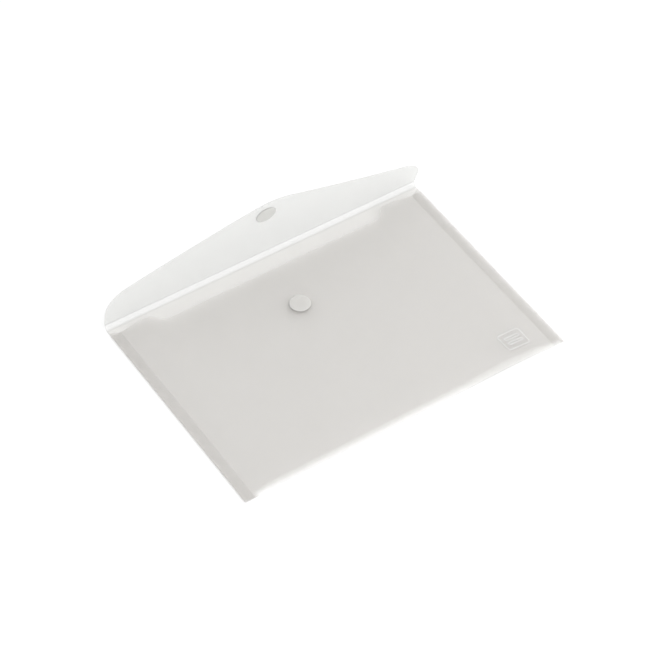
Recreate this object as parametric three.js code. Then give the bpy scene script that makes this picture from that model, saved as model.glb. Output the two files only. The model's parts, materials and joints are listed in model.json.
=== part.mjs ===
// A4 document wallet of translucent polypropylene sheet, lying on its back with the closing flap raised.
// Millimetres, +Z up. X runs along the creases, Y from the bottom fold to the hinge.
// One die-cut blank makes the pouch, the spine strip and the flap. Each panel between two creases is a
// mesh of its own, because the panels turn about the creases. A hook-and-loop coin pair closes the flap.
import * as THREE from 'three';

// ---- Driving dimensions ----
const WIDTH = 335;               // along the creases
const DEPTH = 234.6;             // from the bottom fold to the lower crease
const SPINE = 5.4;               // strip between the two creases
const FLAP_POINT = 92;           // where the flap's two slanted edges would meet, above the upper crease
const SHEET = 0.5;               // sheet thickness

const TAB = 10;                  // width of the welded side tabs
const POUCH_HEIGHT = 5.2;        // outside height of the empty pouch between the side ramps
const RAMP = 24;                 // width over which the front sheet rises from a side tab
const LAYER_GAP = 0.1;           // between stacked sheets, coins and their glue
const SEAM = 0.3;                // between panels of the blank that keep their angle
const CREASE_CLEAR = 0.4;        // from a crease's axis to the panel on each side of it

const SPINE_ANGLE = 52;          // of the spine strip above the back panel, in degrees
const FLAP_ANGLE = 104.7;        // of the flap's middle above the back panel, in degrees
const FLAP_TWIST = 0.0287;       // extra lean of the flap for each millimetre to the right, in degrees

const MOUTH_DROP = 20.4;         // lower crease to the front sheet's cut edge, in the middle
const SHOULDER_DROP = 8.5;       // lower crease to the front sheet's cut edge, at both ends
const MOUTH_X = -3;              // middle of the recess in the cut edge
const MOUTH_FLAT = 113;          // half width of the straight middle of the cut edge
const MOUTH_HALF = 128;          // half width where the S-curves reach the shoulders

const FOLD_DEPTH = 5;            // of the strip that holds the rounded bottom fold
const FOLD_STRETCH = 1.6;        // the fold's depth over its half height
const BOW_HEIGHT = 3;            // how far the front sheet bows up beside the right bottom corner
const BOW_X = 105;
const BOW_HALF = 50;             // half width of the bow along the fold
const BOW_LENGTH = 70;           // how far the bow reaches up the front

const FLAP_SLOPE = 0.324;        // fall of the flap's slanted edges
const FLAP_TIP_RADIUS = 58;
const FLAP_CORNER_RADIUS = 30;

const TAB_END_OUTER = 4;         // lower crease to the tab's end, at the outside
const TAB_END_INNER = 9.5;       // lower crease to the tab's end, at the inside

const COIN_DIAMETER = 20;
const COIN_HEIGHT = 1.7;
const COIN_CHAMFER = 0.15;
const GLUE_DIAMETER = 19.4;
const GLUE_HEIGHT = 0.2;
const COIN_X = -7;               // both coins sit a little left of the middle
const COIN_DROP = 71;            // from the creases to the coins' middles
const ROUND_SIDES = 48;

// ---- Worked-out places ----
const halfWidth = WIDTH / 2;
const bottomY = -DEPTH / 2;
const creaseY = DEPTH / 2;
const sheetMiddle = SHEET / 2;
const tabBottom = SHEET + LAYER_GAP;
const tabTop = tabBottom + SHEET;
const bandHeight = tabTop + LAYER_GAP + SHEET;
const foldEdgeY = bottomY + FOLD_DEPTH;
const panelStartY = foldEdgeY + SEAM;

const wallet = new THREE.Group();
wallet.name = 'document_wallet';

// ---- Materials ----
function plastic(color, roughness, opacity) {
  const transparent = opacity < 1;
  return new THREE.MeshStandardMaterial({ color, roughness, metalness: 0, opacity, transparent });
}

const frostedSheet = plastic(0xe4e4e1, 0.45, 0.75);
const clearHook = plastic(0xdcdcda, 0.5, 0.8);
const softLoop = plastic(0xd6d6d4, 0.9, 1);
const clearGlue = plastic(0xf0f0ea, 0.5, 0.6);

function addMesh(parent, name, geometry, material) {
  const mesh = new THREE.Mesh(geometry, material);
  mesh.name = name;
  parent.add(mesh);
  return mesh;
}

// ---- Shape helpers ----
function smoothStep(t) {
  const c = Math.min(1, Math.max(0, t));
  return c * c * (3 - 2 * c);
}

function hill(t) {
  return Math.abs(t) < 1 ? 0.5 * (1 + Math.cos(Math.PI * t)) : 0;
}

function steps(from, to, count) {
  return Array.from({ length: count }, (_, i) => from + ((to - from) * i) / count);
}

// Outside height of the front sheet at x, y.
function frontTop(x, y) {
  const inside = halfWidth - Math.abs(x) - TAB;
  const pillow = bandHeight + (POUCH_HEIGHT - bandHeight) * smoothStep(inside / RAMP);
  const up = Math.min(1, (y - bottomY) / BOW_LENGTH);
  return pillow + BOW_HEIGHT * hill((x - BOW_X) / BOW_HALF) * hill(up);
}

// Distance from the lower crease to the front sheet's cut edge at x.
function mouthDrop(x) {
  const t = (Math.abs(x - MOUTH_X) - MOUTH_FLAT) / (MOUTH_HALF - MOUTH_FLAT);
  return MOUTH_DROP + (SHOULDER_DROP - MOUTH_DROP) * smoothStep(t);
}

// Stations along the creases, closer together where the front sheet's height or edge changes.
function stationsAcross() {
  const bandEdge = halfWidth - TAB;
  const rampEdge = bandEdge - RAMP;
  return [
    ...steps(-halfWidth, -bandEdge, 1),
    ...steps(-bandEdge, -rampEdge, 7),
    ...steps(-rampEdge, MOUTH_X - MOUTH_HALF, 1),
    ...steps(MOUTH_X - MOUTH_HALF, MOUTH_X - MOUTH_FLAT, 7),
    ...steps(MOUTH_X - MOUTH_FLAT, MOUTH_X + MOUTH_FLAT, 24),
    ...steps(MOUTH_X + MOUTH_FLAT, MOUTH_X + MOUTH_HALF, 7),
    ...steps(MOUTH_X + MOUTH_HALF, rampEdge, 2),
    ...steps(rampEdge, bandEdge, 7),
    bandEdge,
    halfWidth,
  ];
}

// Closed solid between two grids of points, outer[i][j] and inner[i][j].
function slab(outer, inner) {
  const columns = outer.length;
  const rows = outer[0].length;
  const positions = [];
  for (const grid of [outer, inner]) {
    for (const line of grid) {
      for (const p of line) positions.push(p.x, p.y, p.z);
    }
  }
  const at = (side, i, j) => side * columns * rows + i * rows + j;
  const index = [];
  const quad = (a, b, c, d) => index.push(a, b, c, a, c, d);
  for (let i = 0; i + 1 < columns; i += 1) {
    for (let j = 0; j + 1 < rows; j += 1) {
      quad(at(0, i, j), at(0, i + 1, j), at(0, i + 1, j + 1), at(0, i, j + 1));
      quad(at(1, i, j), at(1, i, j + 1), at(1, i + 1, j + 1), at(1, i + 1, j));
    }
    quad(at(0, i, 0), at(1, i, 0), at(1, i + 1, 0), at(0, i + 1, 0));
    quad(at(0, i, rows - 1), at(0, i + 1, rows - 1), at(1, i + 1, rows - 1), at(1, i, rows - 1));
  }
  for (let j = 0; j + 1 < rows; j += 1) {
    quad(at(0, 0, j), at(0, 0, j + 1), at(1, 0, j + 1), at(1, 0, j));
    quad(at(0, columns - 1, j), at(1, columns - 1, j), at(1, columns - 1, j + 1), at(0, columns - 1, j + 1));
  }
  const geometry = new THREE.BufferGeometry();
  geometry.setAttribute('position', new THREE.Float32BufferAttribute(positions, 3));
  geometry.setIndex(index);
  geometry.computeVertexNormals();
  return geometry;
}

// Flat panel from an outline, with its middle plane at z = 0.
function panel(outline) {
  const geometry = new THREE.ExtrudeGeometry(outline, { depth: SHEET, bevelEnabled: false });
  geometry.translate(0, 0, -SHEET / 2);
  return geometry;
}

// Round piece on the axis Z, from z = 0 up.
function disc(diameter, height, chamfer) {
  const radius = diameter / 2;
  const profile = [
    new THREE.Vector2(0, 0),
    new THREE.Vector2(radius - chamfer, 0),
    new THREE.Vector2(radius, chamfer),
    new THREE.Vector2(radius, height - chamfer),
    new THREE.Vector2(radius - chamfer, height),
    new THREE.Vector2(0, height),
  ];
  const geometry = new THREE.LatheGeometry(profile, ROUND_SIDES);
  geometry.rotateX(Math.PI / 2);
  return geometry;
}

// ---- Back panel: full width at the crease, narrower where the side tabs turn over ----
const turnCentreX = halfWidth - tabTop / 2;
const backHalf = turnCentreX - SEAM;

function backPanel() {
  const notchY = creaseY - TAB_END_OUTER + SEAM;
  const endY = creaseY - CREASE_CLEAR;
  const outline = new THREE.Shape();
  outline.moveTo(-backHalf, panelStartY);
  outline.lineTo(backHalf, panelStartY);
  outline.lineTo(backHalf, notchY);
  outline.lineTo(halfWidth, notchY);
  outline.lineTo(halfWidth, endY);
  outline.lineTo(-halfWidth, endY);
  outline.lineTo(-halfWidth, notchY);
  outline.lineTo(-backHalf, notchY);
  outline.closePath();
  return panel(outline);
}

const back = addMesh(wallet, 'back_panel', backPanel(), frostedSheet);
back.position.z = sheetMiddle;

// ---- Side tabs: turned over from the back panel's edges and welded under the front sheet ----
// side is 1 for the right tab and -1 for the left one.
function sideTab(side) {
  const turnMiddleZ = tabTop / 2;
  const outerRadius = tabTop / 2;
  const innerRadius = outerRadius - SHEET;
  const turnSteps = 10;
  const section = [];
  for (let i = 0; i <= turnSteps; i += 1) {
    const angle = -Math.PI / 2 + (Math.PI * i) / turnSteps;
    section.push({ x: turnCentreX, z: turnMiddleZ, cos: Math.cos(angle), sin: Math.sin(angle) });
  }
  const innerX = halfWidth - TAB;
  section.push({ x: innerX, z: turnMiddleZ, cos: 0, sin: 1 });
  const endSlope = (TAB_END_INNER - TAB_END_OUTER) / TAB;
  const grid = (radius) => section.map((s) => {
    const x = s.x + radius * s.cos;
    const z = s.z + radius * s.sin;
    const endY = creaseY - TAB_END_OUTER - endSlope * (halfWidth - x);
    const line = [new THREE.Vector3(side * x, panelStartY, z), new THREE.Vector3(side * x, endY, z)];
    return side > 0 ? line : line.reverse();
  });
  return slab(grid(innerRadius), grid(outerRadius));
}

addMesh(wallet, 'left_side_tab', sideTab(-1), frostedSheet);
addMesh(wallet, 'right_side_tab', sideTab(1), frostedSheet);

// ---- Front panel: pillowed sheet with its recessed cut edge ----
function frontPanel() {
  const rows = 12;
  const rowEase = 1.4;
  const lay = (lift) => stationsAcross().map((x) => {
    const endY = creaseY - mouthDrop(x);
    return Array.from({ length: rows + 1 }, (_, j) => {
      const y = panelStartY + (endY - panelStartY) * (j / rows) ** rowEase;
      return new THREE.Vector3(x, y, frontTop(x, y) + lift);
    });
  });
  return slab(lay(0), lay(-SHEET));
}

addMesh(wallet, 'front_panel', frontPanel(), frostedSheet);

// ---- Bottom fold: joins the back panel to the front panel ----
function bottomFold() {
  const foldSteps = 12;
  const lay = (offset) => stationsAcross().map((x) => {
    const middle = frontTop(x, foldEdgeY) / 2;
    const halfHeight = middle - SHEET / 2;
    const depth = Math.min(FOLD_STRETCH * halfHeight, FOLD_DEPTH - SHEET);
    const noseY = bottomY + SHEET / 2;
    const line = [new THREE.Vector3(x, foldEdgeY, middle - halfHeight - offset)];
    for (let k = 0; k <= foldSteps; k += 1) {
      const angle = -Math.PI / 2 + (Math.PI * k) / foldSteps;
      const normal = new THREE.Vector2(-Math.cos(angle) / depth, Math.sin(angle) / halfHeight).normalize();
      const y = noseY + depth * (1 - Math.cos(angle)) + offset * normal.x;
      const z = middle + halfHeight * Math.sin(angle) + offset * normal.y;
      line.push(new THREE.Vector3(x, y, z));
    }
    line.push(new THREE.Vector3(x, foldEdgeY, middle + halfHeight + offset));
    return line;
  });
  return slab(lay(SHEET / 2), lay(-SHEET / 2));
}

addMesh(wallet, 'bottom_fold', bottomFold(), frostedSheet);

// ---- Closure coin on the front ----
const coinY = creaseY - COIN_DROP;
const frontGlue = addMesh(wallet, 'hook_coin_glue', disc(GLUE_DIAMETER, GLUE_HEIGHT, 0), clearGlue);
frontGlue.position.set(COIN_X, coinY, POUCH_HEIGHT + LAYER_GAP);
const hookCoin = addMesh(wallet, 'hook_coin', disc(COIN_DIAMETER, COIN_HEIGHT, COIN_CHAMFER), clearHook);
hookCoin.position.set(COIN_X, coinY, frontGlue.position.z + GLUE_HEIGHT + LAYER_GAP);

// ---- Spine strip, turned about the lower crease ----
const spineTurn = new THREE.Group();
spineTurn.position.set(0, creaseY, sheetMiddle);
spineTurn.rotation.x = THREE.MathUtils.degToRad(SPINE_ANGLE);
wallet.add(spineTurn);

function spineStrip() {
  const outline = new THREE.Shape();
  outline.moveTo(-halfWidth, CREASE_CLEAR);
  outline.lineTo(halfWidth, CREASE_CLEAR);
  outline.lineTo(halfWidth, SPINE - CREASE_CLEAR);
  outline.lineTo(-halfWidth, SPINE - CREASE_CLEAR);
  outline.closePath();
  return panel(outline);
}

addMesh(spineTurn, 'spine_strip', spineStrip(), frostedSheet);

// ---- Closing flap, turned about the upper crease ----
const flapTurn = new THREE.Group();
flapTurn.position.y = SPINE;
flapTurn.rotation.x = THREE.MathUtils.degToRad(FLAP_ANGLE - SPINE_ANGLE);
spineTurn.add(flapTurn);

// Blunt arrow outline: rounded corners, two slanted edges and a wide rounded tip, as points from left
// to right. Below each of them the flap runs straight to its crease.
function flapEdge() {
  const fall = Math.atan(FLAP_SLOPE);
  const cornerX = halfWidth - FLAP_CORNER_RADIUS;
  const cornerY = FLAP_POINT - FLAP_SLOPE * cornerX - FLAP_CORNER_RADIUS / Math.cos(fall);
  const tipY = FLAP_POINT - FLAP_TIP_RADIUS / Math.cos(fall);
  const quarter = Math.PI / 2;
  const arc = (x, y, radius, from, to, count) => steps(from, to, count).concat(to).map(
    (angle) => new THREE.Vector2(x + radius * Math.cos(angle), y + radius * Math.sin(angle)),
  );
  const leftCorner = arc(-cornerX, cornerY, FLAP_CORNER_RADIUS, Math.PI, quarter + fall, 9);
  const tip = arc(0, tipY, FLAP_TIP_RADIUS, quarter + fall, quarter - fall, 10);
  const rightCorner = arc(cornerX, cornerY, FLAP_CORNER_RADIUS, quarter - fall, 0, 9);
  const slant = (from, to) => steps(0, 1, 8).slice(1).map((t) => from.clone().lerp(to, t));
  return [
    ...leftCorner,
    ...slant(leftCorner.at(-1), tip[0]),
    ...tip,
    ...slant(tip.at(-1), rightCorner[0]),
    ...rightCorner,
  ];
}

function twistAt(x) {
  return THREE.MathUtils.degToRad(FLAP_TWIST * x);
}

// Each straight line from the crease to the edge leans by the twist at its own x.
function flapPanel() {
  const rows = 4;
  const lay = (lift) => flapEdge().map(({ x, y: edge }) => {
    const lean = twistAt(x);
    return Array.from({ length: rows + 1 }, (_, j) => {
      const reach = CREASE_CLEAR + ((edge - CREASE_CLEAR) * j) / rows;
      const y = reach * Math.cos(lean) - lift * Math.sin(lean);
      const z = reach * Math.sin(lean) + lift * Math.cos(lean);
      return new THREE.Vector3(x, y, z);
    });
  });
  return slab(lay(SHEET / 2), lay(-SHEET / 2));
}

addMesh(flapTurn, 'closing_flap', flapPanel(), frostedSheet);

// ---- Closure coin on the flap's inner face, square to the twisted sheet under it ----
const coinTurn = new THREE.Group();
coinTurn.rotation.x = twistAt(COIN_X);
flapTurn.add(coinTurn);
const coinSeat = new THREE.Group();
coinSeat.position.set(COIN_X, COIN_DROP, SHEET / 2 + LAYER_GAP);
coinSeat.rotation.y = -Math.atan(COIN_DROP * THREE.MathUtils.degToRad(FLAP_TWIST));
coinTurn.add(coinSeat);

addMesh(coinSeat, 'loop_coin_glue', disc(GLUE_DIAMETER, GLUE_HEIGHT, 0), clearGlue);
const loopCoin = addMesh(coinSeat, 'loop_coin', disc(COIN_DIAMETER, COIN_HEIGHT, COIN_CHAMFER), softLoop);
loopCoin.position.z = GLUE_HEIGHT + LAYER_GAP;

// The origin is the middle of the whole object's footprint, on the surface that it lies on.
wallet.updateMatrixWorld(true);
const footprint = new THREE.Box3().setFromObject(wallet, true);
wallet.position.y = -(footprint.min.y + footprint.max.y) / 2;

export default wallet;
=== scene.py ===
"""Looks of a document wallet made from frosted, translucent plastic sheet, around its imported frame.

Metres, in the row's frame: X along the creases, Y from the bottom fold to the hinge, Z up. One blank makes
the pouch, the spine strip and the flap, so each is a thin closed sheet, and a short bent piece crosses each
of the two creases. A hook coin sits on the front sheet and a loop coin on the flap's inner face.
"""

import math
import random

import bmesh
import bpy
from mathutils import Matrix, Vector
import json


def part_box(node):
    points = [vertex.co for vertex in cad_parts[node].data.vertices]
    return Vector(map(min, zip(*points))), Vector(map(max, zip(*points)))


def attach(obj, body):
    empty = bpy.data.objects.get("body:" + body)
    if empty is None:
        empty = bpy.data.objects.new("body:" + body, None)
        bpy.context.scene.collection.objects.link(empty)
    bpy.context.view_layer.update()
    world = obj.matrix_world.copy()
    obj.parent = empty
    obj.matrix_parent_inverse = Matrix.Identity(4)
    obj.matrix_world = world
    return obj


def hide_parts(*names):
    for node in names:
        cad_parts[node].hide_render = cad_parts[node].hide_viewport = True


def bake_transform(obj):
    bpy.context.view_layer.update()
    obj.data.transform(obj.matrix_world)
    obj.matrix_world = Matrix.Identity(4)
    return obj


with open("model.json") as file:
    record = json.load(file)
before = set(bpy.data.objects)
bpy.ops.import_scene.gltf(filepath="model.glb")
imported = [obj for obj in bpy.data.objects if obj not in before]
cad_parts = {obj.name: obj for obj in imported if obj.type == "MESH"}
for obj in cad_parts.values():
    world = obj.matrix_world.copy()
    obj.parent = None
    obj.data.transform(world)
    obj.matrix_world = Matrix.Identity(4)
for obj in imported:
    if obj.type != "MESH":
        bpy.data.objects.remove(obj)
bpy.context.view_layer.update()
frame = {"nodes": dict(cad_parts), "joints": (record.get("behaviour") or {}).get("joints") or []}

MM = 0.001

# ---- Places read from the frame ----
joint_at = {j["name"]: Vector(j["pos_m"]) for j in frame["joints"]}
LOWER_CREASE = joint_at["lower_crease"]
UPPER_CREASE = joint_at["upper_crease"]
HALF_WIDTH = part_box("front_panel")[1].x
BOTTOM_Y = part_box("bottom_fold")[0].y
SHEET = 2 * LOWER_CREASE.z
SPINE = (UPPER_CREASE - LOWER_CREASE).length
SPINE_ANGLE = math.atan2(UPPER_CREASE.z - LOWER_CREASE.z, UPPER_CREASE.y - LOWER_CREASE.y)

# ---- Shape of the sheet, the same as the CAD model's ----
TAB = 10 * MM                    # width of the welded side tabs
POUCH_HEIGHT = 5.2 * MM
RAMP = 24 * MM
LAYER_GAP = 0.1 * MM
FOLD_DEPTH = 5 * MM
FOLD_STRETCH = 1.6
BOW_HEIGHT = 3 * MM
BOW_X = 105 * MM
BOW_HALF = 50 * MM
BOW_LENGTH = 70 * MM
MOUTH_DROP = 20.4 * MM
SHOULDER_DROP = 8.5 * MM
MOUTH_X = -3 * MM
MOUTH_FLAT = 113 * MM
MOUTH_HALF = 128 * MM
TAB_END_OUTER = 4 * MM
TAB_END_INNER = 9.5 * MM
FLAP_ANGLE = math.radians(104.7)
FLAP_TWIST = math.radians(0.0287) / MM
FLAP_POINT = 92 * MM
FLAP_SLOPE = 0.324
FLAP_TIP_RADIUS = 58 * MM
FLAP_CORNER_RADIUS = 30 * MM

# ---- Shape of the crease pieces ----
CREASE_HALF = 0.7 * MM           # from a crease's axis to the end of the piece that bends
CREASE_THINNING = 0.3            # share of the sheet's thickness that the crease is pressed in by

# ---- Coins ----
COIN_RADIUS = 10 * MM
COIN_HEIGHT = 1.7 * MM
GLUE_RADIUS = 9.7 * MM
GLUE_HEIGHT = 0.2 * MM
COIN_FILLET = 0.25 * MM
HOOK_HEIGHT = 0.45 * MM
HOOK_PITCH = 0.85 * MM
LOOP_HEIGHT = 0.5 * MM
LOOP_PITCH = 0.8 * MM
LOOP_SEED = 7
COIN_MARGIN = 0.9 * MM           # bare rim round the hooks or loops
COIN_SIDES = 96

# ---- Raised mark ----
MARK_X = 128 * MM
MARK_Y = BOTTOM_Y + 23 * MM
MARK_HALF_X = 11.5 * MM
MARK_HALF_Y = 10 * MM
MARK_CORNER = 3 * MM
MARK_WIDTH = 1.4 * MM
MARK_HEIGHT = 0.45 * MM
MARK_CLEAR = 0.01 * MM
MARK_STEP = 0.5 * MM
MARK_BAR_HALF = 7.5 * MM
MARK_BAR_RISE = 3 * MM

# ---- Worked out from the above ----
BAND_HEIGHT = 3 * SHEET + 2 * LAYER_GAP
TAB_MIDDLE_Z = SHEET + LAYER_GAP + SHEET / 2
TURN_RADIUS = (TAB_MIDDLE_Z - SHEET / 2) / 2
TURN_X = HALF_WIDTH - TURN_RADIUS - SHEET / 2
FOLD_EDGE_Y = BOTTOM_Y + FOLD_DEPTH
NOTCH_Y = LOWER_CREASE.y - TAB_END_OUTER
BACK_END_Y = LOWER_CREASE.y - CREASE_HALF


# ---- Shape helpers ----
def smooth_step(t):
    t = min(1.0, max(0.0, t))
    return t * t * (3 - 2 * t)


def hill(t):
    return 0.5 * (1 + math.cos(math.pi * t)) if abs(t) < 1 else 0.0


def spread(start, stop, count):
    """count + 1 evenly spaced numbers from start to stop."""
    return [start + (stop - start) * i / count for i in range(count + 1)]


def front_top(x, y):
    """Outside height of the front sheet."""
    pillow = smooth_step((HALF_WIDTH - abs(x) - TAB) / RAMP)
    bow = hill((x - BOW_X) / BOW_HALF) * hill(min(1.0, (y - BOTTOM_Y) / BOW_LENGTH))
    return BAND_HEIGHT + (POUCH_HEIGHT - BAND_HEIGHT) * pillow + BOW_HEIGHT * bow


def mouth_drop(x):
    """Distance from the lower crease to the front sheet's cut edge."""
    t = (abs(x - MOUTH_X) - MOUTH_FLAT) / (MOUTH_HALF - MOUTH_FLAT)
    return MOUTH_DROP + (SHOULDER_DROP - MOUTH_DROP) * smooth_step(t)


def stations():
    """Places along the creases, closer together where the front sheet's height or edge changes."""
    band = HALF_WIDTH - TAB
    ramp = band - RAMP
    marks = [
        (-HALF_WIDTH, 4),
        (-band, 14),
        (-ramp, 2),
        (MOUTH_X - MOUTH_HALF, 16),
        (MOUTH_X - MOUTH_FLAT, 44),
        (MOUTH_X + MOUTH_FLAT, 16),
        (MOUTH_X + MOUTH_HALF, 3),
        (ramp, 14),
        (band, 4),
        (HALF_WIDTH, 0),
    ]
    places = []
    for (start, count), (stop, _) in zip(marks, marks[1:]):
        places += spread(start, stop, count)[:-1]
    return places + [HALF_WIDTH]


# ---- Mesh helpers ----
def add_grid(bm, grid):
    """Adds a rectangular grid of points to a bmesh as quads."""
    lines = [[bm.verts.new(p) for p in line] for line in grid]
    for a, b in zip(lines, lines[1:]):
        for i in range(len(a) - 1):
            bm.faces.new((a[i], a[i + 1], b[i + 1], b[i]))


def link_object(name, mesh):
    obj = bpy.data.objects.new(name, mesh)
    bpy.context.scene.collection.objects.link(obj)
    return obj


def finish_mesh(bm, name, materials, sharp_angle=35):
    """Makes an object from a closed bmesh, smooth except along its sharp edges."""
    bmesh.ops.recalc_face_normals(bm, faces=bm.faces)
    mesh = bpy.data.meshes.new(name)
    bm.to_mesh(mesh)
    bm.free()
    for material in materials:
        mesh.materials.append(material)
    mesh.shade_smooth()
    mesh.set_sharp_from_angle(angle=math.radians(sharp_angle))
    return link_object(name, mesh)


def thick_sheet(name, grids, materials):
    """A closed sheet round the middle surface that the grids make. Its rim has the second material."""
    bm = bmesh.new()
    for grid in grids:
        add_grid(bm, grid)
    bmesh.ops.remove_doubles(bm, verts=bm.verts, dist=0.001 * MM)
    mesh = bpy.data.meshes.new(name + "_middle")
    bm.to_mesh(mesh)
    bm.free()
    middle = link_object(name + "_middle", mesh)
    solidify = middle.modifiers.new("thickness", "SOLIDIFY")
    solidify.thickness = SHEET
    solidify.offset = 0
    solidify.material_offset_rim = 1
    for material in materials:
        mesh.materials.append(material)
    evaluated = middle.evaluated_get(bpy.context.evaluated_depsgraph_get())
    solid = bmesh.new()
    solid.from_mesh(evaluated.to_mesh())
    bpy.data.objects.remove(middle)
    return finish_mesh(solid, name, materials)


def bent_strip(name, pivot, start_angle, end_angle, materials):
    """The piece of the sheet that bends over a crease, pressed thinner along its middle."""
    bm = bmesh.new()
    layers = []
    for side in (1, -1):
        lines = []
        for x in spread(-HALF_WIDTH, HALF_WIDTH, 48):
            line = []
            for s in spread(-CREASE_HALF, CREASE_HALF, 10):
                share = smooth_step((s + CREASE_HALF) / (2 * CREASE_HALF))
                angle = start_angle + (end_angle - start_angle) * share
                half = SHEET / 2 * (1 - CREASE_THINNING * hill(s / CREASE_HALF))
                along = Vector((0, math.cos(angle), math.sin(angle)))
                out = Vector((0, -math.sin(angle), math.cos(angle)))
                line.append(bm.verts.new(Vector((x, pivot.y, pivot.z)) + along * s + out * half * side))
            lines.append(line)
        layers.append(lines)
        for a, b in zip(lines, lines[1:]):
            for i in range(len(a) - 1):
                bm.faces.new((a[i], a[i + 1], b[i + 1], b[i]))
    top, under = layers
    for i in range(len(top) - 1):
        for j in (0, -1):
            bm.faces.new((top[i][j], top[i + 1][j], under[i + 1][j], under[i][j]))
    for i in (0, -1):
        for j in range(len(top[0]) - 1):
            face = bm.faces.new((top[i][j], top[i][j + 1], under[i][j + 1], under[i][j]))
            face.material_index = 1
    return finish_mesh(bm, name, materials)


def lathe(bm, profile, sides=COIN_SIDES, place=None):
    """Turns a profile of (radius, height) points about Z and adds the closed solid to bm."""
    made = []
    rings = []
    for radius, z in profile:
        if radius == 0:
            ring = [bm.verts.new((0, 0, z))]
        else:
            turns = [2 * math.pi * k / sides for k in range(sides)]
            ring = [bm.verts.new((radius * math.cos(a), radius * math.sin(a), z)) for a in turns]
        rings.append(ring)
        made += ring
    for low, high in zip(rings, rings[1:]):
        for k in range(sides):
            n = (k + 1) % sides
            corners = [low[k % len(low)], low[n % len(low)], high[n % len(high)], high[k % len(high)]]
            unique = [v for i, v in enumerate(corners) if v not in corners[:i]]
            bm.faces.new(unique)
    if place is not None:
        bmesh.ops.transform(bm, matrix=place, verts=made)


# ---- Materials ----
class Nodes:
    """A material's node tree, with short ways to add and join nodes."""

    def __init__(self, name):
        self.material = bpy.data.materials.new(name)
        self.material.use_nodes = True
        self.tree = self.material.node_tree
        self.shader = self.tree.nodes["Principled BSDF"]
        places = self.tree.nodes.new("ShaderNodeTexCoord")
        self.coordinates = places.outputs["Object"]
        self.normal = places.outputs["Normal"]

    def add(self, kind, inputs=None, **settings):
        node = self.tree.nodes.new(kind)
        for key, value in settings.items():
            setattr(node, key, value)
        for key, value in (inputs or {}).items():
            self.put(node.inputs[key], value)
        return node

    def put(self, socket, value):
        if isinstance(value, bpy.types.NodeSocket):
            self.tree.links.new(value, socket)
        else:
            socket.default_value = value

    def noise(self, size, detail=2.0):
        """Noise with features of about that size in metres."""
        inputs = {"Vector": self.coordinates, "Scale": 1 / size, "Detail": detail}
        return self.add("ShaderNodeTexNoise", inputs).outputs["Fac"]

    def spread(self, value, low, high, start=0.3, stop=0.7):
        """Maps value from start..stop to low..high."""
        inputs = {"Value": value, "From Min": start, "From Max": stop, "To Min": low, "To Max": high}
        return self.add("ShaderNodeMapRange", inputs).outputs["Result"]

    def maths(self, operation, a, b=0.0):
        return self.add("ShaderNodeMath", {0: a, 1: b}, operation=operation).outputs[0]

    def part(self, vector, direction):
        """How far a vector points along a direction."""
        node = self.add("ShaderNodeVectorMath", {0: vector, 1: direction}, operation="DOT_PRODUCT")
        return node.outputs["Value"]

    def mix(self, factor, a, b):
        node = self.add("ShaderNodeMix", {"Factor": factor}, data_type="RGBA")
        self.put(node.inputs[6], a)
        self.put(node.inputs[7], b)
        return node.outputs[2]

    def bump(self, height, distance, strength=1.0, normal=None):
        inputs = {"Height": height, "Distance": distance, "Strength": strength}
        if normal is not None:
            inputs["Normal"] = normal
        return self.add("ShaderNodeBump", inputs).outputs["Normal"]


CLOUD_SIZE = 30 * MM
CLOUD_OPACITY = 0.005            # how far the clouds change the opacity either way
GRAIN_SIZE = 0.35 * MM
GRAIN_DEPTH = 0.02 * MM
WAVE_SIZE = 90 * MM
WAVE_DEPTH = 1.5 * MM


def frosted_sheet(name, opacity, light, dark):
    """Frosted polypropylene: cloudy, with a fine pressed grain and long soft waves."""
    m = Nodes(name)
    cloud = m.noise(CLOUD_SIZE, 3.0)
    grain = m.noise(GRAIN_SIZE, 2.0)
    wave = m.noise(WAVE_SIZE, 1.0)
    m.color = m.mix(m.spread(cloud, 0.0, 1.0), dark, light)
    m.opacity = m.spread(cloud, opacity - CLOUD_OPACITY, opacity + CLOUD_OPACITY)
    m.put(m.shader.inputs["Base Color"], m.color)
    m.put(m.shader.inputs["Alpha"], m.opacity)
    m.put(m.shader.inputs["Roughness"], m.spread(grain, 0.42, 0.55))
    rippled = m.bump(wave, WAVE_DEPTH)
    m.put(m.shader.inputs["Normal"], m.bump(grain, GRAIN_DEPTH, 0.2, rippled))
    return m


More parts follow.
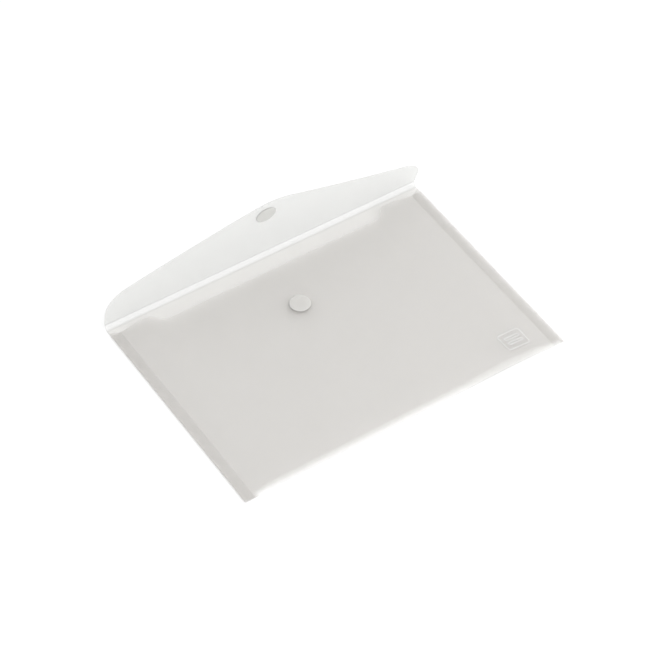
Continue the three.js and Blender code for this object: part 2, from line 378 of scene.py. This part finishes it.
def pouch_sheet():
    """The pouch's sheet: painted shade makes it greyer in front, and a painted highlight makes it whiter and
    clearer over the bottom fold and the right side's turn.
    """
    m = frosted_sheet("frosted_pouch", SHEET_OPACITY, BACK_LIGHT, BACK_DARK)
    x = m.part(m.coordinates, (1, 0, 0))
    y = m.part(m.coordinates, (0, 1, 0))
    z = m.part(m.coordinates, (0, 0, 1))
    # Painted shade: the front sheet's outside is painted greyer than the back, a shaded copy of the same
    # sheet.
    raised = m.spread(z, 0.0, 1.0, SHEET + 2 * LAYER_GAP, BAND_HEIGHT - SHEET)
    color = m.mix(raised, m.color, FRONT_SHADED_COLOR)
    # Painted highlight: the sheet is painted whiter and clearer over the bottom fold, standing in for light
    # that comes through it there.
    fold_highlight = m.spread(y, 1.0, 0.0, BOTTOM_Y + FOLD_HIGHLIGHT_FROM, BOTTOM_Y + FOLD_HIGHLIGHT_TO)
    off_left_band = m.spread(x, 0.0, 1.0, TAB - HALF_WIDTH, 1.6 * TAB - HALF_WIDTH)
    off_right_band = m.spread(x, 1.0, 0.0, HALF_WIDTH - 0.4 * TAB, HALF_WIDTH)
    fold_highlight = m.maths("MULTIPLY", m.maths("MULTIPLY", fold_highlight, off_left_band), off_right_band)
    bowed = m.spread(x, 1.0, FOLD_HIGHLIGHT_BOWED, BOW_X - 1.3 * BOW_HALF, BOW_X - 0.3 * BOW_HALF)
    fold_highlight = m.maths("MULTIPLY", fold_highlight, bowed)
    # Painted highlight on the right side's turn only, where light comes round the fold.
    turn_highlight = m.spread(x, 0.0, BAND_TURN_HIGHLIGHT, HALF_WIDTH - 0.6 * TAB, HALF_WIDTH - 0.2 * TAB)
    clear = m.maths("MAXIMUM", fold_highlight, turn_highlight)
    kept = m.maths("SUBTRACT", 1.0, m.maths("MULTIPLY", clear, FOLD_HIGHLIGHT_CLEARNESS))
    m.put(m.shader.inputs["Base Color"], m.mix(clear, color, FOLD_HIGHLIGHT_COLOR))
    m.put(m.shader.inputs["Alpha"], m.maths("MULTIPLY", m.opacity, kept))
    return m.material


def raised_plastic(name):
    """The raised mark: a painted highlight on top, painted shade on its flanks."""
    m = Nodes(name)
    grain = m.noise(0.5 * MM)
    # Painted highlight on the faces that point up, painted shade on the flanks, whose grain varies at random.
    top = m.spread(m.part(m.normal, (0, 0, 1)), 0.0, 1.0, 0.72, 0.95)
    flank = m.mix(m.spread(grain, 0.0, 1.0), MARK_FLANK_SHADE_DARK, MARK_FLANK_SHADE_LIGHT)
    m.put(m.shader.inputs["Base Color"], m.mix(top, flank, MARK_TOP_HIGHLIGHT))
    m.shader.inputs["Alpha"].default_value = MARK_OPACITY
    m.shader.inputs["Roughness"].default_value = 0.4
    return m.material


def plain_plastic(name, color, opacity, roughness, grain_size=0.5 * MM):
    """Clear or cloudy plastic with a fine grain."""
    m = Nodes(name)
    grain = m.noise(grain_size, 2.0)
    darker = [c * 0.93 for c in color[:3]] + [1.0]
    m.put(m.shader.inputs["Base Color"], m.mix(m.spread(grain, 0.0, 1.0), darker, color))
    m.put(m.shader.inputs["Roughness"], m.spread(grain, roughness - 0.06, roughness + 0.06))
    m.shader.inputs["Alpha"].default_value = opacity
    m.put(m.shader.inputs["Normal"], m.bump(grain, GRAIN_DEPTH, 0.5))
    return m.material


SHEET_OPACITY = 0.25
BACK_LIGHT = (0.75, 0.735, 0.71, 1.0)
BACK_DARK = (0.72, 0.705, 0.68, 1.0)
# painted shade: the greyer colour the front sheet is painted with
FRONT_SHADED_COLOR = (0.605, 0.59, 0.57, 1.0)
# painted shade: the flap is painted greyer than the back, a shaded copy of the same sheet
FLAP_SHADED_LIGHT = (0.595, 0.60, 0.575, 1.0)
FLAP_SHADED_DARK = (0.565, 0.57, 0.545, 1.0)
# painted highlight: the spine strip is a lighter, clearer copy of the sheet than the flap and front
SPINE_HIGHLIGHT_LIGHT = (0.70, 0.70, 0.69, 1.0)
SPINE_HIGHLIGHT_DARK = (0.67, 0.67, 0.66, 1.0)
SPINE_HIGHLIGHT_OPACITY = 0.2
# painted highlight: the whiter colour that the bottom fold and the right side's turn are painted towards
FOLD_HIGHLIGHT_COLOR = (0.92, 0.92, 0.91, 1.0)
FOLD_HIGHLIGHT_FROM = 1.5 * MM       # from the bottom: the painted highlight is strongest up to here
FOLD_HIGHLIGHT_TO = 6 * MM           # and gone from here, where the sheet is as cloudy as elsewhere
FOLD_HIGHLIGHT_CLEARNESS = 0.68            # share of the sheet's opacity that the painted highlight takes away at the fold
FOLD_HIGHLIGHT_BOWED = 0.6           # beside the bow, as a share of the rest of the fold's painted highlight
BAND_TURN_HIGHLIGHT = 0.22           # painted highlight at the right side's turn, as a share of the fold's
MARK_OPACITY = 0.42
# painted highlight on the raised mark's top, painted shade on its flanks
MARK_TOP_HIGHLIGHT = (0.84, 0.84, 0.83, 1.0)
MARK_FLANK_SHADE_LIGHT = (0.40, 0.40, 0.39, 1.0)
MARK_FLANK_SHADE_DARK = (0.34, 0.34, 0.33, 1.0)
pouch_face = pouch_sheet()
spine_highlight_face = frosted_sheet("frosted_spine_painted_highlight", SPINE_HIGHLIGHT_OPACITY, SPINE_HIGHLIGHT_LIGHT, SPINE_HIGHLIGHT_DARK).material
flap_shaded_face = frosted_sheet("frosted_flap_painted_shade", SHEET_OPACITY, FLAP_SHADED_LIGHT, FLAP_SHADED_DARK).material
sheet_edge = plain_plastic("sheet_cut_edge", (0.72, 0.72, 0.70, 1.0), 0.3, 0.5)
flap_edge_face = plain_plastic("flap_cut_edge", (0.52, 0.52, 0.51, 1.0), 0.45, 0.5)
crease_face = plain_plastic("pressed_crease", (0.66, 0.66, 0.65, 1.0), 0.22, 0.4)
hook_coin_face = plain_plastic("hook_coin_face", (0.72, 0.71, 0.69, 1.0), 0.65, 0.4)
loop_coin_face = plain_plastic("loop_coin_face", (0.76, 0.76, 0.74, 1.0), 0.6, 0.4)
# painted shade: the coins' side walls are painted darker than their faces
coin_rim_painted_shade = plain_plastic("coin_rim_painted_shade", (0.40, 0.40, 0.39, 1.0), 0.4, 0.35)
hook_plastic = plain_plastic("clear_hooks", (0.62, 0.61, 0.59, 1.0), 0.18, 0.4, 0.2 * MM)
loop_fibre = plain_plastic("loop_fibre", (0.78, 0.78, 0.76, 1.0), 0.16, 0.7, 0.1 * MM)
mark_lit_and_shaded = raised_plastic("raised_mark")
glue_film = plain_plastic("adhesive_film", (0.80, 0.80, 0.77, 1.0), 0.08, 0.5)

POUCH_MATERIALS = [pouch_face, sheet_edge]
SPINE_MATERIALS = [spine_highlight_face, sheet_edge]
FLAP_MATERIALS = [flap_shaded_face, flap_edge_face]
CREASE_MATERIALS = [crease_face, sheet_edge]


# ---- The pouch: back, turned side tabs, rounded bottom fold and pillowed front ----
def fold_line(x):
    """Middle line of the bottom fold at x, from the back sheet round to the front sheet."""
    middle = front_top(x, FOLD_EDGE_Y) / 2
    half_height = middle - SHEET / 2
    depth = min(FOLD_STRETCH * half_height, FOLD_DEPTH - SHEET)
    nose_y = BOTTOM_Y + SHEET / 2
    widen = max(0.0, abs(x) - TURN_X)
    line = [(x, FOLD_EDGE_Y, SHEET / 2)]
    for angle in spread(-math.pi / 2, math.pi / 2, 18):
        y = nose_y + depth * (1 - math.cos(angle))
        z = middle + half_height * math.sin(angle)
        drawn_in = widen * (1 - math.sin(angle)) / 2
        line.append((x - math.copysign(drawn_in, x), y, z))
    line[0] = (line[1][0], *line[0][1:])
    line.append((x, FOLD_EDGE_Y, middle + half_height))
    return [Vector(p) for p in line]


def front_line(x):
    """Middle line of the front sheet at x, from the fold to the cut edge."""
    end_y = LOWER_CREASE.y - mouth_drop(x)
    ys = [FOLD_EDGE_Y + (end_y - FOLD_EDGE_Y) * t**1.25 for t in spread(0, 1, 44)]
    return [Vector((x, y, front_top(x, y) - SHEET / 2)) for y in ys]


def back_rows():
    return spread(FOLD_EDGE_Y, NOTCH_Y, 30) + spread(NOTCH_Y, BACK_END_Y, 4)[1:]


def tab_section(side):
    """The side tab's middle line across X, from where it leaves the back sheet to its inner edge."""
    line = []
    for angle in spread(-math.pi / 2, math.pi / 2, 8):
        x = TURN_X + TURN_RADIUS * math.cos(angle)
        line.append((side * x, SHEET / 2 + TURN_RADIUS * (1 + math.sin(angle))))
    inner = HALF_WIDTH - TAB
    line += [(side * x, TAB_MIDDLE_Z) for x in spread(TURN_X, inner, 6)[1:]]
    return line


def tab_grid(side):
    start_y = fold_line(side * HALF_WIDTH)[1].y
    slope = (TAB_END_INNER - TAB_END_OUTER) / TAB
    grid = []
    for x, z in tab_section(side):
        end_y = NOTCH_Y - slope * max(0.0, TURN_X - abs(x))
        rows = [start_y] + spread(FOLD_EDGE_Y, end_y, 30)
        grid.append([Vector((x, y, z)) for y in rows])
    return grid


def ear_grid(side):
    """The narrow end of the back sheet beside the hinge, past the tab's end."""
    xs = (side * TURN_X, side * HALF_WIDTH)
    return [[Vector((x, y, SHEET / 2)) for y in spread(NOTCH_Y, BACK_END_Y, 4)] for x in xs]


def make_pouch():
    across = stations()
    folds = [fold_line(x) for x in across]
    back = [[Vector((line[0].x, y, SHEET / 2)) for y in back_rows()] for line in folds]
    front = [front_line(x) for x in across]
    grids = [back, folds, front]
    grids += [tab_grid(side) for side in (-1, 1)]
    grids += [ear_grid(side) for side in (-1, 1)]
    pouch = thick_sheet("pouch_sheet", grids, POUCH_MATERIALS)
    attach(pouch, "pouch")
    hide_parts("back_panel", "bottom_fold", "front_panel", "left_side_tab", "right_side_tab")


# ---- The spine strip, and the bent pieces that cross the two creases ----
def along_spine(x, s):
    return Vector((x, LOWER_CREASE.y + s * math.cos(SPINE_ANGLE), LOWER_CREASE.z + s * math.sin(SPINE_ANGLE)))


def make_spine():
    reach = spread(CREASE_HALF, SPINE - CREASE_HALF, 6)
    grid = [[along_spine(x, s) for s in reach] for x in spread(-HALF_WIDTH, HALF_WIDTH, 48)]
    spine = thick_sheet("spine_sheet", [grid], SPINE_MATERIALS)
    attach(spine, "spine")
    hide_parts("spine_strip")


def make_crease(name, pivot, start_angle, end_angle):
    crease = bent_strip(name, pivot, start_angle, end_angle, CREASE_MATERIALS)
    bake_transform(crease)


# ---- The closing flap ----
def flap_edge():
    """Blunt arrow outline from left to right, as (x, distance from the crease)."""
    fall = math.atan(FLAP_SLOPE)
    corner_x = HALF_WIDTH - FLAP_CORNER_RADIUS
    corner_y = FLAP_POINT - FLAP_SLOPE * corner_x - FLAP_CORNER_RADIUS / math.cos(fall)
    tip_y = FLAP_POINT - FLAP_TIP_RADIUS / math.cos(fall)
    quarter = math.pi / 2

    def arc(x, y, radius, start, stop, count):
        return [(x + radius * math.cos(a), y + radius * math.sin(a)) for a in spread(start, stop, count)]

    def slant(a, b):
        return [(a[0] + (b[0] - a[0]) * t, a[1] + (b[1] - a[1]) * t) for t in spread(0, 1, 24)[1:-1]]

    left = arc(-corner_x, corner_y, FLAP_CORNER_RADIUS, math.pi, quarter + fall, 18)
    tip = arc(0, tip_y, FLAP_TIP_RADIUS, quarter + fall, quarter - fall, 18)
    right = arc(corner_x, corner_y, FLAP_CORNER_RADIUS, quarter - fall, 0, 18)
    return left + slant(left[-1], tip[0]) + tip + slant(tip[-1], right[0]) + right


def on_flap(x, reach):
    """A point of the twisted flap's middle surface, at reach from the crease."""
    angle = FLAP_ANGLE + FLAP_TWIST * x * smooth_step(reach / (2 * CREASE_HALF))
    y = UPPER_CREASE.y + reach * math.cos(angle)
    z = UPPER_CREASE.z + reach * math.sin(angle)
    return Vector((x, y, z))


def make_flap():
    grid = []
    for x, edge in flap_edge():
        grid.append([on_flap(x, reach) for reach in spread(CREASE_HALF, edge, 16)])
    flap = thick_sheet("flap_sheet", [grid], FLAP_MATERIALS)
    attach(flap, "flap")
    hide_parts("closing_flap")


# ---- Coins ----
def coin_profile(radius, height, fillet):
    """A disc's section with rounded upper and lower edges, as (radius, height) points from its axis."""
    turns = spread(0, math.pi / 2, 4)
    low = [(radius - fillet * (1 - math.sin(a)), fillet * (1 - math.cos(a))) for a in turns]
    high = [(r, height - z) for r, z in reversed(low)]
    return [(0, 0)] + low + high + [(0, height)]


def staggered_places(radius, pitch):
    """Places of a staggered pattern inside a circle."""
    rise = pitch * math.sqrt(3) / 2
    count = int(radius / rise) + 1
    places = []
    for row in range(-count, count + 1):
        shift = 0.5 * pitch * (row % 2)
        for column in range(-count - 1, count + 2):
            x = column * pitch + shift
            y = row * rise
            if math.hypot(x, y) < radius:
                places.append((x, y))
    return places


def coin_frame(node, outward):
    """The seat of a coin or glue disc: its lower face's middle, with the disc's axis as Z."""
    points = [v.co for v in frame["nodes"][node].data.vertices]
    middle = sum(points, Vector()) / len(points)
    axis = min(points, key=lambda p: (p - middle).length) - middle
    axis = axis.normalized() if axis.dot(outward) > 0 else -axis.normalized()
    thickness = 2 * max((p - middle).dot(axis) for p in points)
    turn = Vector((0, 0, 1)).rotation_difference(axis)
    return Matrix.Translation(middle - axis * thickness / 2) @ turn.to_matrix().to_4x4()


def add_hook(bm, x, y, z, height):
    """A moulded stem with a round flat head."""
    stem = 0.12 * MM
    head = 0.24 * MM
    profile = [
        (0, 0),
        (1.3 * stem, 0),
        (stem, 0.6 * height),
        (head, 0.75 * height),
        (0.7 * head, height),
        (0, height),
    ]
    lathe(bm, profile, sides=8, place=Matrix.Translation((x, y, z)))


def add_loop(bm, x, y, z, height, turn, lean):
    """A fine fibre that stands in an arch."""
    thickness = 0.045 * MM
    half_span = 0.38 * MM
    ring_sides = 5
    rings = []
    for angle in spread(0, math.pi, 7):
        out = Vector((-math.cos(angle), 0, math.sin(angle)))
        middle = Vector((half_span * out.x, 0, (height - thickness) * out.z))
        ring = []
        for k in range(ring_sides):
            a = 2 * math.pi * k / ring_sides
            away = out * math.cos(a) + Vector((0, 1, 0)) * math.sin(a)
            ring.append(bm.verts.new(middle + away * thickness))
        rings.append(ring)
    for low, high in zip(rings, rings[1:]):
        for k in range(ring_sides):
            n = (k + 1) % ring_sides
            bm.faces.new((low[k], low[n], high[n], high[k]))
    bm.faces.new(rings[0])
    bm.faces.new(rings[-1])
    place = Matrix.Translation((x, y, z)) @ Matrix.Rotation(turn, 4, "Z") @ Matrix.Rotation(lean, 4, "X")
    bmesh.ops.transform(bm, matrix=place, verts=[v for ring in rings for v in ring])


def mark_side_faces(bm, radius):
    """Gives the faces round a coin's rim the second material."""
    for face in bm.faces:
        middle = face.calc_center_median()
        if math.hypot(middle.x, middle.y) > radius:
            face.material_index = 1


def make_coin(name, node, outward, body, face_material, face_height):
    """A coin's base disc, lower than its CAD solid by face_height, which its hooks or loops take up."""
    bm = bmesh.new()
    lathe(bm, coin_profile(COIN_RADIUS, COIN_HEIGHT - face_height, COIN_FILLET))
    mark_side_faces(bm, COIN_RADIUS - COIN_FILLET)
    place = coin_frame(node, outward)
    bmesh.ops.transform(bm, matrix=place, verts=bm.verts)
    coin = finish_mesh(bm, name, [face_material, coin_rim_painted_shade], sharp_angle=50)
    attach(coin, body)
    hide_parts(node)
    return place


def make_hook_coin():
    up = Vector((0, 0, 1))
    place = make_coin("hook_coin_base", "hook_coin", up, "pouch", hook_coin_face, HOOK_HEIGHT)
    bm = bmesh.new()
    for x, y in staggered_places(COIN_RADIUS - COIN_MARGIN, HOOK_PITCH):
        add_hook(bm, x, y, COIN_HEIGHT - HOOK_HEIGHT, HOOK_HEIGHT)
    bmesh.ops.transform(bm, matrix=place, verts=bm.verts)
    hooks = finish_mesh(bm, "hook_coin_hooks", [hook_plastic])
    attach(hooks, "pouch")


def make_loop_coin():
    inward = Vector((0, -math.sin(FLAP_ANGLE), math.cos(FLAP_ANGLE)))
    place = make_coin("loop_coin_base", "loop_coin", inward, "flap", loop_coin_face, LOOP_HEIGHT)
    bm = bmesh.new()
    chance = random.Random(LOOP_SEED)
    for x, y in staggered_places(COIN_RADIUS - COIN_MARGIN, LOOP_PITCH):
        turn = chance.uniform(0, math.pi)
        lean = chance.uniform(-0.5, 0.5)
        height = LOOP_HEIGHT * chance.uniform(0.8, 1.0)
        add_loop(bm, x, y, COIN_HEIGHT - LOOP_HEIGHT, height, turn, lean)
    bmesh.ops.transform(bm, matrix=place, verts=bm.verts)
    loops = finish_mesh(bm, "loop_coin_loops", [loop_fibre])
    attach(loops, "flap")


def make_glue(name, node, outward, body):
    bm = bmesh.new()
    lathe(bm, coin_profile(GLUE_RADIUS, GLUE_HEIGHT, 0.4 * GLUE_HEIGHT))
    bmesh.ops.transform(bm, matrix=coin_frame(node, outward), verts=bm.verts)
    glue = finish_mesh(bm, name, [glue_film], sharp_angle=50)
    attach(glue, body)
    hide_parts(node)


def make_coins():
    up = Vector((0, 0, 1))
    inward = Vector((0, -math.sin(FLAP_ANGLE), math.cos(FLAP_ANGLE)))
    make_glue("hook_coin_adhesive", "hook_coin_glue", up, "pouch")
    make_glue("loop_coin_adhesive", "loop_coin_glue", inward, "flap")
    make_hook_coin()
    make_loop_coin()


# ---- Raised mark on the front: a plain rounded frame with two bars ----
def front_place(x, y, lift):
    """A point at lift over the front sheet's outside, along its normal."""
    step = 0.5 * MM
    slope_x = (front_top(x + step, y) - front_top(x - step, y)) / (2 * step)
    slope_y = (front_top(x, y + step) - front_top(x, y - step)) / (2 * step)
    return Vector((x, y, front_top(x, y))) + Vector((-slope_x, -slope_y, 1)).normalized() * lift


def rounded_box(half_x, half_y, radius):
    """Closed outline of a box with round corners, with points at most about MARK_STEP apart."""
    points = []
    corners = [(half_x, half_y, 0), (-half_x, half_y, 1), (-half_x, -half_y, 2), (half_x, -half_y, 3)]
    for x, y, quarter in corners:
        centre_x = x - math.copysign(radius, x)
        centre_y = y - math.copysign(radius, y)
        for a in spread(quarter * math.pi / 2, (quarter + 1) * math.pi / 2, 8):
            points.append((centre_x + radius * math.cos(a), centre_y + radius * math.sin(a)))
    outline = []
    for a, b in zip(points, points[1:] + points[:1]):
        count = max(1, round(math.dist(a, b) / MARK_STEP))
        outline += [(a[0] + (b[0] - a[0]) * t, a[1] + (b[1] - a[1]) * t) for t in spread(0, 1, count)[:-1]]
    return outline


def add_ridge(bm, outline, middle, width, height):
    """A low rounded ridge that follows a closed outline on the front sheet."""
    section = [(-0.5, 0.0), (-0.32, 0.7), (0.0, 1.0), (0.32, 0.7), (0.5, 0.0)]
    rings = []
    count = len(outline)
    for i, (x, y) in enumerate(outline):
        before = Vector(outline[i - 1])
        after = Vector(outline[(i + 1) % count])
        out = (after - before).normalized()
        ring = []
        for across, up in section:
            at_x = middle.x + x + out.y * across * width
            at_y = middle.y + y - out.x * across * width
            ring.append(bm.verts.new(front_place(at_x, at_y, MARK_CLEAR + up * height)))
        rings.append(ring)
    for i in range(count):
        low, high = rings[i], rings[(i + 1) % count]
        for k in range(len(section)):
            n = (k + 1) % len(section)
            bm.faces.new((low[k], high[k], high[n], low[n]))


def make_mark():
    bm = bmesh.new()
    middle = Vector((MARK_X, MARK_Y))
    add_ridge(bm, rounded_box(MARK_HALF_X, MARK_HALF_Y, MARK_CORNER), middle, MARK_WIDTH, MARK_HEIGHT)
    for rise in (MARK_BAR_RISE, -MARK_BAR_RISE):
        bar = rounded_box(MARK_BAR_HALF, MARK_WIDTH, 0.9 * MARK_WIDTH)
        add_ridge(bm, bar, middle + Vector((0, rise)), MARK_WIDTH, MARK_HEIGHT)
    mark = finish_mesh(bm, "front_raised_mark", [mark_lit_and_shaded])
    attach(mark, "pouch")


make_pouch()
make_spine()
make_crease("lower_crease_bend", LOWER_CREASE, 0.0, SPINE_ANGLE)
make_crease("upper_crease_bend", UPPER_CREASE, SPINE_ANGLE, FLAP_ANGLE)
make_flap()
make_coins()
make_mark()


# ---- Stage, light and camera ----
FLOOR_DROP = 0.1 * MM            # under the wallet, so that the two surfaces don't coincide
FLOOR_HALF = 6.0
FLOOR_COLOR = (0.8, 0.8, 0.8, 1.0)
WORLD_STRENGTH = 1.1
LENS = 146.42
CAMERA_PLACE = Vector((-0.89467, -1.36616, 1.80666))
CAMERA_AIM = Vector((0.00066, -0.00074, 0.00109))


def make_floor():
    floor_material = Nodes("plain_floor")
    floor_material.shader.inputs["Base Color"].default_value = FLOOR_COLOR
    floor_material.shader.inputs["Roughness"].default_value = 0.9
    floor_material.shader.inputs["Specular IOR Level"].default_value = 0.1
    bm = bmesh.new()
    bmesh.ops.create_grid(bm, x_segments=1, y_segments=1, size=FLOOR_HALF)
    bmesh.ops.translate(bm, verts=bm.verts, vec=(0, 0, -FLOOR_DROP))
    mesh = bpy.data.meshes.new("floor")
    bm.to_mesh(mesh)
    bm.free()
    mesh.materials.append(floor_material.material)
    link_object("floor", mesh)


def add_soft_light(name, place, aim, size, power):
    data = bpy.data.lights.new(name, "AREA")
    data.shape = "SQUARE"
    data.size = size
    data.energy = power
    light = link_object(name, data)
    light.location = place
    light.rotation_euler = (Vector(aim) - Vector(place)).to_track_quat("-Z", "Y").to_euler()


def make_world(strength):
    world = bpy.data.worlds.new("studio")
    world.use_nodes = True
    background = world.node_tree.nodes["Background"]
    background.inputs["Color"].default_value = (1.0, 1.0, 1.0, 1.0)
    background.inputs["Strength"].default_value = strength
    bpy.context.scene.world = world


def make_camera():
    data = bpy.data.cameras.new("camera")
    data.lens = LENS
    data.sensor_width = 36
    data.clip_start = 0.01
    data.clip_end = 50
    camera = link_object("camera", data)
    camera.location = CAMERA_PLACE
    camera.rotation_euler = (CAMERA_AIM - CAMERA_PLACE).to_track_quat("-Z", "Y").to_euler()
    bpy.context.scene.camera = camera


make_floor()
make_world(WORLD_STRENGTH)
add_soft_light("front_softbox", (0.9, -1.5, 2.3), (0, 0, 0), size=2.6, power=34)
add_soft_light("right_softbox", (0.45, -0.5, 0.55), (0.1, -0.05, 0), size=0.8, power=0.9)
make_camera()
scene = bpy.context.scene
scene.view_settings.view_transform = "Standard"
scene.cycles.transparent_max_bounces = 48
scene.cycles.max_bounces = 16
scene.cycles.diffuse_bounces = 8
